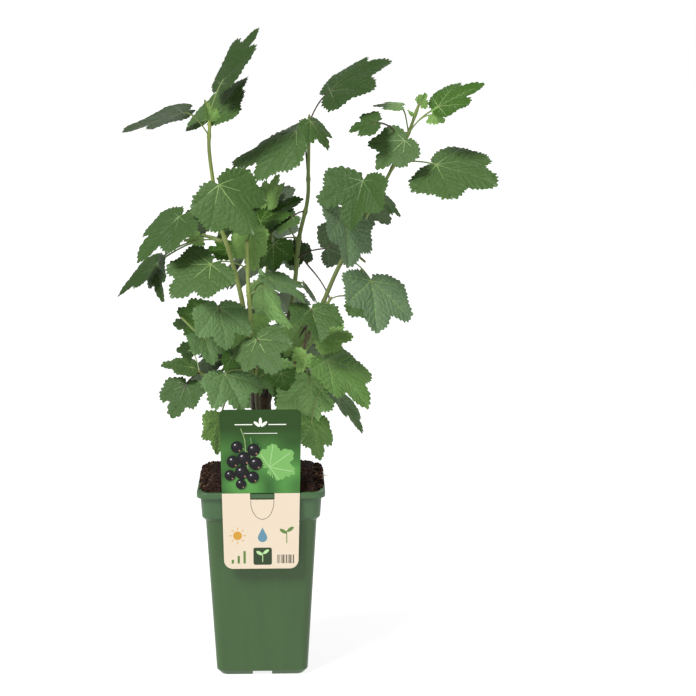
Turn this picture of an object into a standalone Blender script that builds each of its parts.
"""A young currant bush in a tall square nursery pot, with a hanging plant label.

The frame is +Z up, with the viewer at -Y and the origin on the flat pad under the pot.
Sizes in the tables are millimetres and degrees; the model itself is in metres.
"""

import math
import random

import bmesh
import bpy
from mathutils import Vector
from mathutils.bvhtree import BVHTree

MM = 0.001
GAP = 0.3  # clearance between neighbouring solids
CUT_PAST = 2.0  # how far a cutter runs past the wall it cuts

# The pot: 131 mm square at the lip, 198 mm tall
POT_HEIGHT = 198.0
LIP_HALF = 65.6
LIP_DEPTH = 6.7
COLLAR_HALF = 61.9
COLLAR_FOOT_HALF = 60.4
COLLAR_FOOT_HEIGHT = 170.7
STEP_HEIGHT = 166.6
BODY_TOP_HALF = 56.8
BODY_FOOT_HALF = 47.2
BODY_FOOT_HEIGHT = 6.0
BASE_HALF = 42.2
POT_WALL = 1.5
LIP_EDGE = 1.0
INNER_STEP_RISES = (0.5, 0.9)  # the inside's step sits this much above the outside's
FLOOR_HEIGHT = 6.5
CORNER_SHARE = 0.17  # corner radius as a share of the half width
CORNER_STEPS = 3
CHANNEL_WIDTH = 20.0
CHANNEL_DEPTH = 4.4
PAD_HALF = 15.0
DRAIN_RADIUS = 4.0
DRAIN_REACH = 27.0

# The potting soil: a little below the lip at the walls, and heaped above it in the middle
SOIL_EDGE = 192.5
SOIL_CROWN = 207.0
SOIL_RISE = 2.4  # how soon the heap reaches its height, going in from the wall
SOIL_SEAT_HALF = 14.0
SOIL_LUMP = 1.6
SOIL_RINGS = 5

# The label: a thin card in front of the lip, hung by a tongue over it
CARD_TOP = 284.3
CARD_BOTTOM = 119.5
CARD_TOP_HALF = 41.5
CARD_BOTTOM_HALF = 37.7
CARD_TOP_CORNER = 5.0
CARD_BOTTOM_CORNER = 9.0
CARD_THICK = 0.8
CARD_CLEAR = 2.0  # leaves keep this far behind the card
SLOT_CENTRE = 1.4
SLOT_HALF = 12.4
SLOT_BOTTOM = 191.4
TONGUE_HALF = 11.5
TONGUE_TIP = 194.5

# The woody foot that the shoots rise from, as centre line points with radii
FOOT_PATH = ((0, 1, 207.3, 11.0), (0, 1, 211, 8.8), (1, 1, 219, 7.5), (3, 1, 248, 6.6), (5, 1, 286, 5.6))
FOOT_SIDES = 10

# Each shoot: its centre line, its radius at the foot and at the tip, and how high its bare
# limb reaches before the foliage on it begins
SHOOTS = {
    "left": {
        "path": ((2, 0, 243), (-7, -1, 271), (-8, -2, 298), (-11, -4, 336), (-20, -8, 393), (-32, -10, 440),
                 (-41, -10, 468), (-46, -10, 501), (-51, -8, 543), (-50, -8, 574), (-53, -8, 589)),
        "radii": (3.1, 1.7),
        "bare_to": 455,
    },
    "short": {
        "path": ((2, -1, 239), (-2, -10, 265), (-5, -15, 300), (-9, -20, 338), (-10, -24, 372),
                 (-12, -26, 406), (-13, -28, 450)),
        "radii": (2.8, 1.8),
        "bare_to": 369,
    },
    "middle": {
        "path": ((4, 2, 273), (6, 5, 293), (12, 9, 311), (28, 15, 362), (36, 16, 406), (40, 16, 448),
                 (49, 12, 489), (50, 10, 520), (51, 6, 575)),
        "radii": (2.9, 1.7),
        "bare_to": 407,
    },
    "right": {
        "path": ((5, 0, 271), (11, -4, 291), (21, -5, 303), (41, -7, 334), (57, -9, 367), (80, -10, 421),
                 (111, -12, 479), (133, -16, 520), (149, -20, 554), (161, -22, 587)),
        "radii": (2.9, 1.5),
        "bare_to": 437,
    },
    "back": {
        "path": ((3, 3, 258), (2, 13, 283), (3, 26, 323), (4, 40, 368), (6, 46, 403), (10, 52, 443),
                 (15, 56, 481)),
        "radii": (2.8, 1.7),
        "bare_to": 401,
    },
}
LIMB_SIDES = 8
LIMB_STEP = 18.0
STEM_SIDES = 5

# Each side spur: the shoot it leaves, how high, and the points it passes after the foot
SPURS = {
    "left_side_leaves": ("left", 451, ((-58, 0, 454), (-76, 2, 449))),
    "left_low_leaves": ("left", 359, ((-34, -14, 355), (-60, -14, 353), (-80, -8, 369))),
    "low_left_leaves": ("left", 299, ((-28, -14, 301), (-48, -22, 307), (-62, -24, 315))),
    "low_front_leaves": ("short", 305, ((-6, -30, 309), (-4, -40, 321))),
    "right_side_leaves": ("right", 430, ((96, -16, 436), (106, -24, 430))),
    "right_low_leaves": ("right", 369, ((66, -2, 377), (72, 4, 387))),
    "low_right_leaves": ("right", 321, ((44, -18, 321), (58, -26, 317), (66, -28, 307))),
    "low_back_left_leaves": ("back", 301, ((-14, 36, 303), (-32, 44, 301), (-46, 50, 289), (-52, 52, 271))),
    "low_back_right_leaves": ("back", 315, ((20, 38, 317), (36, 46, 315), (50, 50, 303), (58, 50, 285))),
    "low_back_leaves": ("back", 348, ((4, 56, 353), (5, 74, 351), (6, 86, 339), (6, 92, 321))),
}
SPUR_RADII = (1.9, 1.3)
SPUR_LEAD = 4.0

# The leaves that face the viewer, by mass. Each row: height of its node on the stem, place of
# the blade's foot, swing and lean of its midrib, roll about it, length, and fold of its halves
SHOWN_LEAVES = {
    "left_tip_leaves": (
        (575, (-38, -8, 609), 27, -5, -76, 73, 3),
        (569, (-51, 6, 573), 34, -32, -64, 70, 0),
        (556, (-77, -15, 581), 256, -4, 100, 70, 5),
        (483, (-40, -45, 509), 142, 18, -24, 63, -15),
        (474, (-81, -30, 476), 231, 12, 63, 63, 0),
        (576, (-51, -12, 574), 352, -5, 55, 20, 30),
    ),
    "left_side_leaves": (
        (450, (-105, -5, 427), 180, 25, 65, 42, 10),
        (450, (-107, 8, 425), 237, 5, 75, 54, 5),
        (454, (-63, -2, 453), 240, -5, 0, 16, 10),
        (455, (-31, 20, 437), 275, 5, 55, 27, 5),
    ),
    "short_tip_leaves": (
        (422, (-49, -50, 430), 235, 24, 44, 56, 5),
        (402, (8, -35, 414), 115, 20, -80, 49, 10),
        (447, (-8, -10, 458), 180, 10, 40, 41, 15),
        (387, (3, -8, 405), 150, 20, 60, 56, 20),
        (395, (47, -14, 405), 140, 15, -100, 27, -5),
    ),
    "middle_tip_leaves": (
        (569, (72, -5, 601), 56, 5, -73, 71, 0),
        (563, (52, -22, 571), 140, 20, -60, 35, -5),
        (511, (38, 12, 561), 248, -15, 70, 85, -12),
        (443, (8, 34, 484), 15, -5, -60, 35, 10),
        (411, (0, 23, 466), 54, 3, -68, 53, 6),
        (477, (33, 0, 473), 245, 10, 70, 38, 5),
        (449, (13, 10, 444), 175, -12, -25, 34, 20),
        (418, (69, -2, 441), 70, -20, -150, 45, 15),
    ),
    "right_tip_leaves": (
        (558, (181, -25, 586), 58, 0, -67, 52, 5),
        (560, (142, -22, 587), 277, -5, 75, 27, 0),
        (548, (117, -48, 571), 259, -17, 56, 32, 5),
        (541, (146, -42, 553), 230, 10, 40, 43, 5),
        (525, (179, -30, 528), 102, 32, -57, 74, 0),
        (500, (104, -48, 513), 199, 25, 33, 56, 24),
        (471, (86, -32, 477), 170, 30, -50, 58, 10),
        (495, (126, -16, 494), 133, 0, -72, 27, 0),
        (581, (163, -22, 589), 35, -20, 20, 14, 10),
        (577, (154, -24, 577), 330, -10, 60, 8, 20),
        (559, (175, -27, 578), 120, 0, 0, 15, 10),
    ),
    "right_side_leaves": (
        (430, (113, -30, 410), 170, 40, -35, 63, 10),
    ),
    "right_low_leaves": (
        (387, (45, 32, 426), 345, -15, 38, 27, -10),
        (387, (96, 8, 389), 100, 5, -40, 40, 10),
        (383, (40, 2, 355), 215, 5, -30, 38, 10),
        (376, (30, 6, 330), 200, 5, -20, 36, 10),
    ),
    "left_low_leaves": (
        (355, (-41, -56, 387), 165, 30, -30, 48, 0),
        (355, (-56, -34, 353), 160, 40, -30, 34, 15),
        (353, (-58, -5, 371), 275, -15, 0, 30, 10),
        (353, (-67, 5, 364), 260, -5, 0, 26, 10),
        (355, (-16, -10, 366), 180, 5, -20, 40, 10),
    ),
    "low_left_leaves": (
        (315, (-73, -8, 336), 270, -10, 0, 16, 10),
        (315, (-70, -26, 321), 282, 10, 72, 33, 5),
        (315, (-76, -34, 305), 205, 25, 30, 39, 10),
        (301, (-41, -36, 271), 184, 10, -38, 39, 10),
        (307, (-18, 8, 322), 160, 0, 20, 34, 10),
    ),
    "low_front_leaves": (
        (315, (-36, -42, 317), 149, 24, -30, 46, 10),
        (321, (-3, -58, 355), 145, 50, -5, 48, 0),
        (315, (-29, -46, 334), 210, 0, 0, 16, 10),
        (309, (21, -40, 317), 165, -5, 0, 22, 10),
        (309, (12, -14, 321), 172, 5, 20, 38, 10),
        (309, (32, -14, 304), 172, 6, -20, 36, 10),
    ),
    "low_right_leaves": (
        (321, (52, -42, 383), 160, 50, -30, 44, 20),
        (319, (63, -20, 352), 85, 10, -50, 35, -5),
        (321, (47, -48, 337), 210, 40, 0, 23, 10),
        (317, (68, -38, 330), 130, 20, -65, 65, 5),
        (321, (50, -28, 309), 178, 14, -22, 54, -10),
        (307, (80, -8, 288), 140, 25, -80, 48, 5),
        (307, (52, -36, 266), 165, 14, -50, 42, 5),
    ),
    "low_back_left_leaves": (
        (303, (-6, 34, 300), 185, -8, -20, 38, 10),
    ),
    "low_back_right_leaves": (
        (315, (30, 32, 299), 165, -8, -20, 36, 10),
    ),
}

# The leaves that a seeded rule adds behind, by mass: how many are tried, the sweep of headings
# round the stem from the right hand side, and the space that the blade may fill
GROWN_LEAVES = {
    "back_tip_leaves": (90, (-20, 200), ((-56, 14, 383), (68, 140, 508))),
    "low_back_left_leaves": (140, (60, 250), ((-86, 6, 211), (24, 140, 375))),
    "low_back_right_leaves": (140, (-70, 120), ((-20, 6, 211), (92, 140, 383))),
    "low_back_leaves": (140, (0, 180), ((-66, 30, 223), (76, 150, 423))),
    "left_tip_leaves": (40, (60, 150), ((-95, 8, 443), (-2, 90, 493))),
    "right_tip_leaves": (40, (30, 120), ((55, 8, 428), (140, 90, 523))),
    "left_low_leaves": (40, (90, 200), ((-84, -6, 303), (0, 60, 393))),
    "low_left_leaves": (40, (90, 200), ((-90, -22, 243), (0, 60, 333))),
    "low_front_leaves": (40, (-60, 60), ((-20, -64, 243), (60, 10, 353))),
    "low_right_leaves": (40, (-40, 80), ((20, -40, 243), (95, 40, 353))),
}
GROWN_SEED = 7
GOLDEN_ANGLE = 137.5
PETIOLE_SPAN = (24.0, 56.0)
BLADE_SPAN = (36.0, 54.0)
PETIOLE_RISE = (10.0, 34.0)
BLADE_DROP = (25.0, 55.0)
GROWN_ROLL = 25.0
GROWN_FOLD = 14.0
MASS_TURN = 53.0

# The blade: radius of its outline by angle from the midrib, for a leaf of length 1
OUTLINE = ((0, 1.0), (21, 0.78), (45, 0.93), (67, 0.66), (87, 0.62), (120, 0.26))
VEINS = ((0, 0.5),)
FOOT_ANGLE = 60  # from here round, the sheet's triangles fan out from the foot
BLADE_DROOP = 0.12
BLADE_THICK = 0.9
PETIOLE_RADII = (1.25, 0.85)
PETIOLE_SIDES = 3
PETIOLE_STEPS = 3
PETIOLE_SUNK = 7.0
PETIOLE_SINKS = (0.3, 0.5)  # how deep below the sheet the stalk meets it and ends
PETIOLE_LIFT = 0.5
PETIOLE_SAG = 0.3
PETIOLE_TURN = 0.6
PETIOLE_HANDLES = (0.35, 0.3)  # how far the curve keeps its first and last heading
SMALL_LEAF = 30.0
SMALL_STALK = 0.55


def material(name, colour, roughness):
    """One Principled material from an sRGB colour."""
    made = bpy.data.materials.new(name)
    made.use_nodes = True
    shader = made.node_tree.nodes["Principled BSDF"]
    linear = [((c + 0.055) / 1.055) ** 2.4 if c > 0.04045 else c / 12.92 for c in colour]
    shader.inputs["Base Color"].default_value = (*linear, 1.0)
    shader.inputs["Roughness"].default_value = roughness
    return made


def mesh_object(name, points, faces, finish=None):
    """A mesh object from points in millimetres, with its faces turned outwards."""
    mesh = bpy.data.meshes.new(name)
    mesh.from_pydata([Vector(p) * MM for p in points], [], faces)
    shape = bmesh.new()
    shape.from_mesh(mesh)
    bmesh.ops.recalc_face_normals(shape, faces=shape.faces)
    shape.to_mesh(mesh)
    shape.free()
    if finish:
        mesh.materials.append(finish)
    made = bpy.data.objects.new(name, mesh)
    bpy.context.collection.objects.link(made)
    return made


def loft(rings):
    """Points and faces of a closed skin over rings of equal length, with a flat cap at each end."""
    count = len(rings[0])
    points = [p for ring in rings for p in ring]
    faces = [tuple(range(count)), tuple(range(len(points) - count, len(points)))]
    for lower in range(0, len(points) - count, count):
        for i in range(count):
            j = (i + 1) % count
            faces.append((lower + i, lower + j, lower + count + j, lower + count + i))
    return points, faces


def square_ring(half, height):
    """A square with rounded corners, as points at one height."""
    radius = half * CORNER_SHARE
    ring = []
    for corner in range(4):
        turn = math.radians(90 * corner)
        middle = Vector((half - radius, half - radius))
        middle = Vector((middle.x * math.cos(turn) - middle.y * math.sin(turn),
                         middle.x * math.sin(turn) + middle.y * math.cos(turn)))
        for step in range(CORNER_STEPS + 1):
            angle = turn + math.radians(90) * step / CORNER_STEPS
            ring.append((middle.x + radius * math.cos(angle), middle.y + radius * math.sin(angle), height))
    return ring


def inner_profile(inset):
    """Half widths and heights of the pot's inside, from its floor to its mouth."""
    floor_half = BODY_FOOT_HALF - POT_WALL
    return (
        (floor_half - inset, FLOOR_HEIGHT + inset),
        (BODY_TOP_HALF - POT_WALL - inset, STEP_HEIGHT + INNER_STEP_RISES[0]),
        (COLLAR_FOOT_HALF - POT_WALL - inset, COLLAR_FOOT_HEIGHT + INNER_STEP_RISES[1]),
        (COLLAR_HALF - POT_WALL - inset, POT_HEIGHT - LIP_DEPTH),
    )


def cut(target, cutters):
    """Subtracts helper objects from a target by Boolean modifiers that stay on it."""
    for cutter in cutters:
        cutter.hide_render = True
        cutter.display_type = "WIRE"
        difference = target.modifiers.new(f"cut by {cutter.name}", "BOOLEAN")
        difference.operation = "DIFFERENCE"
        difference.solver = "EXACT"
        difference.object = cutter


def box_shape(low, high):
    """Points and faces of a box between two corners."""
    points = [Vector((x, y, z)) for x in (low[0], high[0]) for y in (low[1], high[1]) for z in (low[2], high[2])]
    return points, [(0, 1, 3, 2), (4, 6, 7, 5), (0, 4, 5, 1), (2, 3, 7, 6), (0, 2, 6, 4), (1, 5, 7, 3)]


def make_pot(finish):
    """The moulded pot: one lofted skin, then the drain channels and holes cut from below."""
    outer = (
        (BASE_HALF, 0.0),
        (BODY_FOOT_HALF, BODY_FOOT_HEIGHT),
        (BODY_TOP_HALF, STEP_HEIGHT),
        (COLLAR_FOOT_HALF, COLLAR_FOOT_HEIGHT),
        (COLLAR_HALF, POT_HEIGHT - LIP_DEPTH),
        (LIP_HALF - LIP_EDGE / 2, POT_HEIGHT - LIP_DEPTH + LIP_EDGE),
        (LIP_HALF, POT_HEIGHT - LIP_DEPTH + 2 * LIP_EDGE),
        (LIP_HALF, POT_HEIGHT - LIP_EDGE),
        (LIP_HALF - LIP_EDGE, POT_HEIGHT),
    )
    mouth = ((COLLAR_HALF - POT_WALL, POT_HEIGHT),)
    profile = outer + mouth + tuple(reversed(inner_profile(0.0)))
    pot = mesh_object("pot", *loft([square_ring(half, height) for half, height in profile]), finish)
    half = CHANNEL_WIDTH / 2
    reach = LIP_HALF
    cutters = []
    for number, (x, y) in enumerate(((1, 0), (0, 1), (-1, 0), (0, -1))):
        near = Vector((x, y)) * PAD_HALF + Vector((y, x)) * half
        far = Vector((x, y)) * reach - Vector((y, x)) * half
        low = (min(near.x, far.x), min(near.y, far.y), -CHANNEL_DEPTH)
        high = (max(near.x, far.x), max(near.y, far.y), CHANNEL_DEPTH)
        cutters.append(mesh_object(f"channel {number}", *box_shape(low, high)))
        ring = [(x * DRAIN_REACH + DRAIN_RADIUS * math.cos(a), y * DRAIN_REACH + DRAIN_RADIUS * math.sin(a))
                for a in (math.radians(45 * i) for i in range(8))]
        drain = loft([[(px, py, z) for px, py in ring] for z in (CHANNEL_DEPTH / 2, FLOOR_HEIGHT + CUT_PAST)])
        cutters.append(mesh_object(f"drain {number}", *drain))
    cut(pot, cutters)
    return pot


def make_soil(finish):
    """The potting soil: it fills the pot and mounds up round a small level seat for the stem."""
    rings = [square_ring(half, height) for half, height in inner_profile(GAP)]
    draw = random.Random(3)
    edge_half = COLLAR_HALF - POT_WALL - GAP
    for step in range(SOIL_RINGS):
        share = step / SOIL_RINGS
        half = edge_half + (SOIL_SEAT_HALF - edge_half) * share
        height = SOIL_EDGE + (SOIL_CROWN - SOIL_EDGE) * math.sin(min(1.0, SOIL_RISE * share) * math.pi / 2)
        ring = [Vector(p) for p in square_ring(half, height)]
        for p in ring:
            p.z += draw.uniform(-SOIL_LUMP, SOIL_LUMP) * math.sin(share * math.pi)
        rings.append(ring)
    rings.append(square_ring(SOIL_SEAT_HALF, SOIL_CROWN))
    return mesh_object("potting_soil", *loft(rings), finish)


def rounded_outline(corners):
    """An outline of (x, z, radius) corners, each rounded by an arc of short straight pieces."""
    outline = []
    count = len(corners)
    for i, (x, z, radius) in enumerate(corners):
        here = Vector((x, z))
        before = (Vector(corners[i - 1][:2]) - here).normalized()
        after = (Vector(corners[(i + 1) % count][:2]) - here).normalized()
        if radius == 0:
            outline.append(here)
            continue
        half_angle = before.angle(after) / 2
        middle = here + (before + after).normalized() * radius / math.sin(half_angle)
        start = here + before * radius / math.tan(half_angle) - middle
        end = here + after * radius / math.tan(half_angle) - middle
        for step in range(CORNER_STEPS + 1):
            share = step / CORNER_STEPS
            outline.append(middle + (start * (1 - share) + end * share).normalized() * radius)
    return outline


def make_label(finish):
    """The label card with its slot, and the tongue that hooks it over the lip."""
    back = -LIP_HALF - GAP
    front = back - CARD_THICK
    corners = (
        (-CARD_BOTTOM_HALF, CARD_BOTTOM, CARD_BOTTOM_CORNER),
        (CARD_BOTTOM_HALF, CARD_BOTTOM, CARD_BOTTOM_CORNER),
        (CARD_TOP_HALF, CARD_TOP, CARD_TOP_CORNER),
        (-CARD_TOP_HALF, CARD_TOP, CARD_TOP_CORNER),
    )
    outline = rounded_outline(corners)
    card = loft([[(p.x, y, p.y) for p in outline] for y in (front, back)])
    label = mesh_object("plant_label", *card, finish)
    seat = POT_HEIGHT + GAP
    slot = box_shape((SLOT_CENTRE - SLOT_HALF, front - CUT_PAST, SLOT_BOTTOM),
                     (SLOT_CENTRE + SLOT_HALF, back + CUT_PAST, seat))
    cut(label, [mesh_object("label slot", *slot)])
    inside = -(COLLAR_HALF - POT_WALL) + GAP
    hook = rounded_outline((
        (front, seat, 0), (inside, seat, 0), (inside, TONGUE_TIP, 0), (inside + CARD_THICK, TONGUE_TIP, 0),
        (inside + CARD_THICK, seat + CARD_THICK, 0), (front, seat + CARD_THICK, 0),
    ))
    sides = (SLOT_CENTRE - TONGUE_HALF, SLOT_CENTRE + TONGUE_HALF)
    tongue = mesh_object("label tongue", *loft([[(x, p.x, p.y) for p in hook] for x in sides]))
    joined = label.modifiers.new("tongue", "BOOLEAN")
    joined.operation = "UNION"
    joined.solver = "EXACT"
    joined.object = tongue
    tongue.hide_render = True
    tongue.display_type = "WIRE"
    return label


def smooth_path(points, step):
    """Points about one step apart on a Catmull-Rom curve through the given points."""
    points = [Vector(p) for p in points]
    ends = [points[0] * 2 - points[1], *points, points[-1] * 2 - points[-2]]
    path = []
    for a, b, c, d in zip(ends, ends[1:], ends[2:], ends[3:]):
        pieces = max(1, round((c - b).length / step))
        for i in range(pieces):
            t = i / pieces
            path.append(0.5 * (2 * b + (c - a) * t + (2 * a - 5 * b + 4 * c - d) * t * t
                               + (3 * b - a - 3 * c + d) * t ** 3))
    path.append(points[-1])
    return path


def tube(path, radii, sides):
    """Points and faces of a tapering tube along a path, with flat ends."""
    side = None
    rings = []
    for i, here in enumerate(path):
        ahead = (path[min(i + 1, len(path) - 1)] - path[max(i - 1, 0)]).normalized()
        side = side or ahead.orthogonal()
        side = (side - ahead * side.dot(ahead)).normalized()
        across = ahead.cross(side)
        angles = [2 * math.pi * k / sides for k in range(sides)]
        rings.append([here + (side * math.cos(a) + across * math.sin(a)) * radii[i] for a in angles])
    return loft(rings)


def tapered(count, ends):
    """Evenly changing radii from the first end to the second."""
    return [ends[0] + (ends[1] - ends[0]) * i / (count - 1) for i in range(count)]


def split_at_height(path, radii, height, gap):
    """The part of a rising path below a height, and the part that starts one gap above it."""
    for i in range(len(path) - 1):
        if path[i + 1].z > height:
            break
    share = (height - path[i].z) / (path[i + 1].z - path[i].z)
    ahead = (path[i + 1] - path[i]).normalized()
    end = path[i].lerp(path[i + 1], share)
    radius = radii[i] + (radii[i + 1] - radii[i]) * share
    below = (path[: i + 1] + [end], radii[: i + 1] + [radius])
    above = ([end + ahead * gap] + path[i + 1:], [radius] + radii[i + 1:])
    return below, above


def point_at_height(path, height):
    """The place on a path nearest to a height, at least one piece away from its start."""
    best = min(range(1, len(path)), key=lambda i: abs(path[i].z - height))
    for a, b in zip(path[1:], path[2:]):
        if min(a.z, b.z) <= height <= max(a.z, b.z) and a.z != b.z:
            return a.lerp(b, (height - a.z) / (b.z - a.z))
    return path[best]


def leaf_axes(swing, lean, roll):
    """Midrib, side and face directions of a blade. Swing turns the midrib clockwise from
    straight up as the viewer sees it, lean brings its tip forward, and roll turns it over."""
    swing, lean, roll = (math.radians(a) for a in (swing, lean, roll))
    midrib = Vector((math.sin(swing) * math.cos(lean), -math.sin(lean), math.cos(swing) * math.cos(lean)))
    facing = Vector((0, -1, 0))
    facing = (facing - midrib * facing.dot(midrib)).normalized()
    face = facing * math.cos(roll) + midrib.cross(facing) * math.sin(roll)
    return midrib, midrib.cross(face), face


def blade_point(angle, reach, length, fold):
    """Where a point of the blade lies along, beside and above its foot, on a folded, drooping leaf."""
    along = reach * math.cos(math.radians(angle)) * length
    beside = reach * math.sin(math.radians(angle)) * length
    above = abs(beside) * math.tan(math.radians(fold)) - BLADE_DROOP * reach * reach * length
    return along, beside, above


def half_strip(inner, outer):
    """Triangles between two chains of (angle, index), from the midrib round to the leaf's foot."""
    faces = []
    i = j = 0
    while i < len(inner) - 1 or j < len(outer) - 1:
        if j == len(outer) - 1 or (i < len(inner) - 1 and inner[i + 1][0] <= outer[j + 1][0]):
            faces.append((inner[i][1], outer[j][1], inner[i + 1][1]))
            i += 1
        else:
            faces.append((inner[i][1], outer[j][1], outer[j + 1][1]))
            j += 1
    return faces


def blade(foot, axes, length, fold, thick):
    """Points and faces of one lobed blade: an upper and a lower sheet joined by their rim."""
    midrib, side, face = axes
    spots = [(0, 0), *VEINS, *OUTLINE]
    twin = list(range(len(spots)))
    for index, (angle, reach) in enumerate(spots[:]):
        if angle:
            twin[index] = len(spots)
            spots.append((-angle, reach))
    inner = [(angle, 1 + i) for i, (angle, _) in enumerate(VEINS)] + [(FOOT_ANGLE, 0)]
    outer = [(angle, 1 + len(VEINS) + i) for i, (angle, _) in enumerate(OUTLINE)]
    half = [(0, 1 + i, 2 + i) for i in range(len(VEINS) - 1)] + half_strip(inner, outer)
    sheet = half + [tuple(twin[index] for index in reversed(corners)) for corners in half]
    middle = []
    for angle, reach in spots:
        along, beside, above = blade_point(angle, reach, length, fold)
        middle.append(foot + midrib * along + side * beside + face * above)
    count = len(middle)
    points = [p + face * thick / 2 for p in middle] + [p - face * thick / 2 for p in middle]
    faces = sheet + [(c + count, b + count, a + count) for a, b, c in sheet]
    rim = [index for _, index in outer]
    edge = [0] + [twin[index] for index in reversed(rim[1:])] + rim
    for a, b in zip(edge, edge[1:] + edge[:1]):
        faces.append((a, b, b + count, a + count))
    return points, faces


def petiole_path(start, foot, axes, length):
    """The leaf stalk: out of its node, up to the blade, and sunk along the midrib below it."""
    midrib, _, face = axes
    span = foot - start
    reach = span.length
    heading = span.normalized()
    sunk = PETIOLE_SUNK * min(1.0, length / SMALL_LEAF)
    first = start + (heading + Vector((0, 0, PETIOLE_LIFT))) * reach * PETIOLE_HANDLES[0]
    last_heading = (heading + midrib * PETIOLE_TURN - Vector((0, 0, PETIOLE_SAG))).normalized()
    second = foot - last_heading * reach * PETIOLE_HANDLES[1]
    path = []
    for step in range(PETIOLE_STEPS + 1):
        t = step / PETIOLE_STEPS
        s = 1 - t
        path.append(start * s ** 3 + first * (3 * s * s * t) + second * (3 * s * t * t) + foot * t ** 3)
    path[-1] = foot - face * PETIOLE_SINKS[0]
    path.append(foot + midrib * sunk - face * PETIOLE_SINKS[1])
    return path


def leaf_shapes(start, row, extra):
    """Stalk and blade of one leaf, each grown on all sides by an extra clearance."""
    foot, swing, lean, roll, length, fold = row
    foot = Vector(foot)
    axes = leaf_axes(swing, lean, roll)
    path = petiole_path(start, foot, axes, length)
    slim = min(1.0, SMALL_STALK + (1 - SMALL_STALK) * length / SMALL_LEAF)
    radii = [r * slim + extra for r in tapered(len(path), PETIOLE_RADII)]
    stalk = tube(path, radii, PETIOLE_SIDES)
    return stalk, blade(foot, axes, length, fold, BLADE_THICK + 2 * extra)


def tree_of(shape):
    """A search tree of a shape, to find what it touches."""
    points, faces = shape
    return BVHTree.FromPolygons(points, faces)


class Crown:
    """The masses of foliage as they grow, with what each new leaf has to stay clear of."""

    def __init__(self):
        self.blockers = []
        self.stems = {}
        self.shapes = {}

    def block(self, owner, shape):
        self.blockers.append((owner, tree_of(shape)))

    def start_mass(self, mass, path, radii):
        stem = tube(path, radii, STEM_SIDES)
        self.stems[mass] = path
        self.shapes[mass] = [stem]
        self.block(mass, stem)

    def touches(self, shape, but_not=None):
        tree = tree_of(shape)
        return any(owner != but_not and other.overlap(tree) for owner, other in self.blockers)

    def add_leaf(self, mass, start, row, clear_of_own=False):
        """Adds a leaf unless it would touch a limb or another mass. Its blade may also have to
        stay clear of the other leaves of its own mass."""
        stalk, sheet = leaf_shapes(start, row, GAP)
        if self.touches(stalk, mass) or self.touches(sheet, None if clear_of_own else mass):
            return False
        shapes = leaf_shapes(start, row, 0.0)
        for shape in shapes:
            self.block(mass, shape)
        self.shapes[mass] += shapes
        return True


def grown_row(draw, mass_number, number, sweep, start):
    """One leaf of the seeded rule: its stalk leaves at the golden angle, and its blade hangs out."""
    turn = (mass_number * MASS_TURN + number * GOLDEN_ANGLE) % 360 / 360
    heading = math.radians(sweep[0] + (sweep[1] - sweep[0]) * turn)
    out = Vector((math.cos(heading), math.sin(heading), 0))
    rise = math.radians(draw.uniform(*PETIOLE_RISE))
    span = draw.uniform(*PETIOLE_SPAN)
    length = draw.uniform(*BLADE_SPAN)
    drop = math.radians(draw.uniform(*BLADE_DROP))
    foot = start + out * span * math.cos(rise) + Vector((0, 0, span * math.sin(rise)))
    midrib = out * math.cos(drop) - Vector((0, 0, math.sin(drop)))
    swing = math.degrees(math.atan2(midrib.x, midrib.z))
    lean = math.degrees(math.asin(-midrib.y))
    upward = (Vector((0, 0, 1)) - midrib * midrib.z).normalized()
    level = leaf_axes(swing, lean, 0)
    roll = math.degrees(math.atan2(upward.dot(midrib.cross(level[2])), upward.dot(level[2])))
    return foot, swing, lean, roll + draw.uniform(-GROWN_ROLL, GROWN_ROLL), length, draw.uniform(0, GROWN_FOLD)


def inside(space, shape):
    """Whether every point of a shape lies in a box."""
    low, high = space
    return all(low[k] <= p[k] <= high[k] for p in shape[0] for k in range(3))


def grow_crown():
    """All shoots, spurs and leaves, as plain shapes."""
    crown = Crown()
    card_back = -LIP_HALF - GAP
    card = box_shape((-CARD_TOP_HALF, card_back - CARD_THICK, CARD_BOTTOM),
                     (CARD_TOP_HALF, card_back + CARD_CLEAR, CARD_TOP))
    crown.block("label", card)
    crown.block("foot", tube(*foot_limb(0.0), FOOT_SIDES))
    limbs = {}
    for name, shoot in SHOOTS.items():
        path = smooth_path(shoot["path"], LIMB_STEP)
        radii = tapered(len(path), shoot["radii"])
        below, above = split_at_height(path, radii, shoot["bare_to"], GAP)
        limbs[name] = below
        crown.block(name, tube(*below, LIMB_SIDES))
        crown.start_mass(f"{name}_tip_leaves", *above)
    for mass, (shoot, height, points) in SPURS.items():
        path, radii = limbs[shoot]
        centre = point_at_height(path, height)
        axis = (point_at_height(path, height + SPUR_LEAD) - centre).normalized()
        out = Vector(points[0]) - centre
        out = (out - axis * out.dot(axis)).normalized()
        nearest = min(range(len(path)), key=lambda i: abs(path[i].z - height))
        foot = centre + out * (radii[nearest] + GAP)
        spur = smooth_path((foot, foot + out * SPUR_LEAD, *points), LIMB_STEP / 2)
        crown.start_mass(mass, spur, tapered(len(spur), SPUR_RADII))
    for mass, rows in SHOWN_LEAVES.items():
        for height, *row in rows:
            crown.add_leaf(mass, point_at_height(crown.stems[mass], height), row)
    draw = random.Random(GROWN_SEED)
    for mass_number, (mass, (tries, sweep, space)) in enumerate(GROWN_LEAVES.items()):
        stem = crown.stems[mass]
        for number in range(tries):
            start = stem[1 + number % (len(stem) - 1)]
            row = grown_row(draw, mass_number, number, sweep, start)
            if inside(space, leaf_shapes(start, row, 0.0)[1]):
                crown.add_leaf(mass, start, row, clear_of_own=True)
    return crown, limbs


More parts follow.
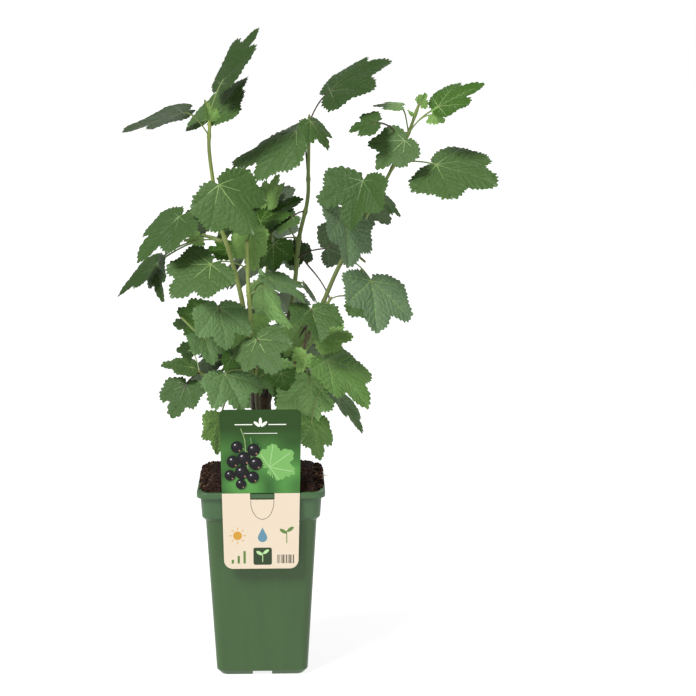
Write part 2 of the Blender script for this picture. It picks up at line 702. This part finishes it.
def keep_outer_skin(mesh):
    """Fills hollows that the union sealed, and drops loose scraps, by keeping the largest skin."""
    shape = bmesh.new()
    shape.from_mesh(mesh)
    waiting = set(shape.verts)
    skins = []
    while waiting:
        skin = set()
        edge = [waiting.pop()]
        while edge:
            vert = edge.pop()
            skin.add(vert)
            near = {other for link in vert.link_edges for other in link.verts} & waiting
            waiting -= near
            edge += near
        skins.append(skin)
    skins.sort(key=len)
    spare = [vert for skin in skins[:-1] for vert in skin]
    bmesh.ops.delete(shape, geom=spare, context="VERTS")
    shape.to_mesh(mesh)
    shape.free()


def join_mass(mass, shapes, finish):
    """One solid from a stem and its leaves: a Boolean union on a collection, then applied."""
    stem = mesh_object(mass, *shapes[0], finish)
    pieces = bpy.data.collections.new(f"{mass} pieces")
    bpy.context.scene.collection.children.link(pieces)
    for number, shape in enumerate(shapes[1:]):
        piece = mesh_object(f"{mass} piece {number}", *shape)
        bpy.context.collection.objects.unlink(piece)
        pieces.objects.link(piece)
    union = stem.modifiers.new("union", "BOOLEAN")
    union.operation = "UNION"
    union.operand_type = "COLLECTION"
    union.collection = pieces
    union.solver = "EXACT"
    graph = bpy.context.evaluated_depsgraph_get()
    joined = bpy.data.meshes.new_from_object(stem.evaluated_get(graph))
    stem.modifiers.remove(union)
    keep_outer_skin(joined)
    stem.data = joined
    for piece in list(pieces.objects):
        bpy.data.objects.remove(piece)
    bpy.data.collections.remove(pieces)
    return stem


def foot_limb(extra):
    """The woody foot's path and radii, grown by an extra clearance at its side and top."""
    path = [Vector(p[:3]) for p in FOOT_PATH]
    path[-1] += (path[-1] - path[-2]).normalized() * extra
    return path, [p[3] + extra for p in FOOT_PATH]


def make_limbs(limbs, bark, shoot_bark):
    """The woody foot and the bare shoots, each shoot cut clear of the foot."""
    mesh_object("woody_base", *tube(*foot_limb(0.0), FOOT_SIDES), bark)
    clearance = mesh_object("foot clearance", *tube(*foot_limb(GAP), FOOT_SIDES))
    for name, (limb_path, limb_radii) in limbs.items():
        shoot = mesh_object(f"{name}_shoot", *tube(limb_path, limb_radii, LIMB_SIDES), shoot_bark)
        cut(shoot, [clearance])


def main():
    for old in list(bpy.data.objects):
        bpy.data.objects.remove(old)
    make_pot(material("moulded green polypropylene", (0.31, 0.44, 0.27), 0.42))
    make_soil(material("moist peat", (0.17, 0.11, 0.08), 0.95))
    make_label(material("printed card", (0.93, 0.87, 0.80), 0.35))
    crown, limbs = grow_crown()
    bark = material("brown bark", (0.27, 0.20, 0.15), 0.8)
    make_limbs(limbs, bark, material("young green bark", (0.46, 0.47, 0.25), 0.6))
    leaf = material("currant leaf", (0.28, 0.43, 0.24), 0.55)
    for mass, shapes in crown.shapes.items():
        join_mass(mass, shapes, leaf)


main()
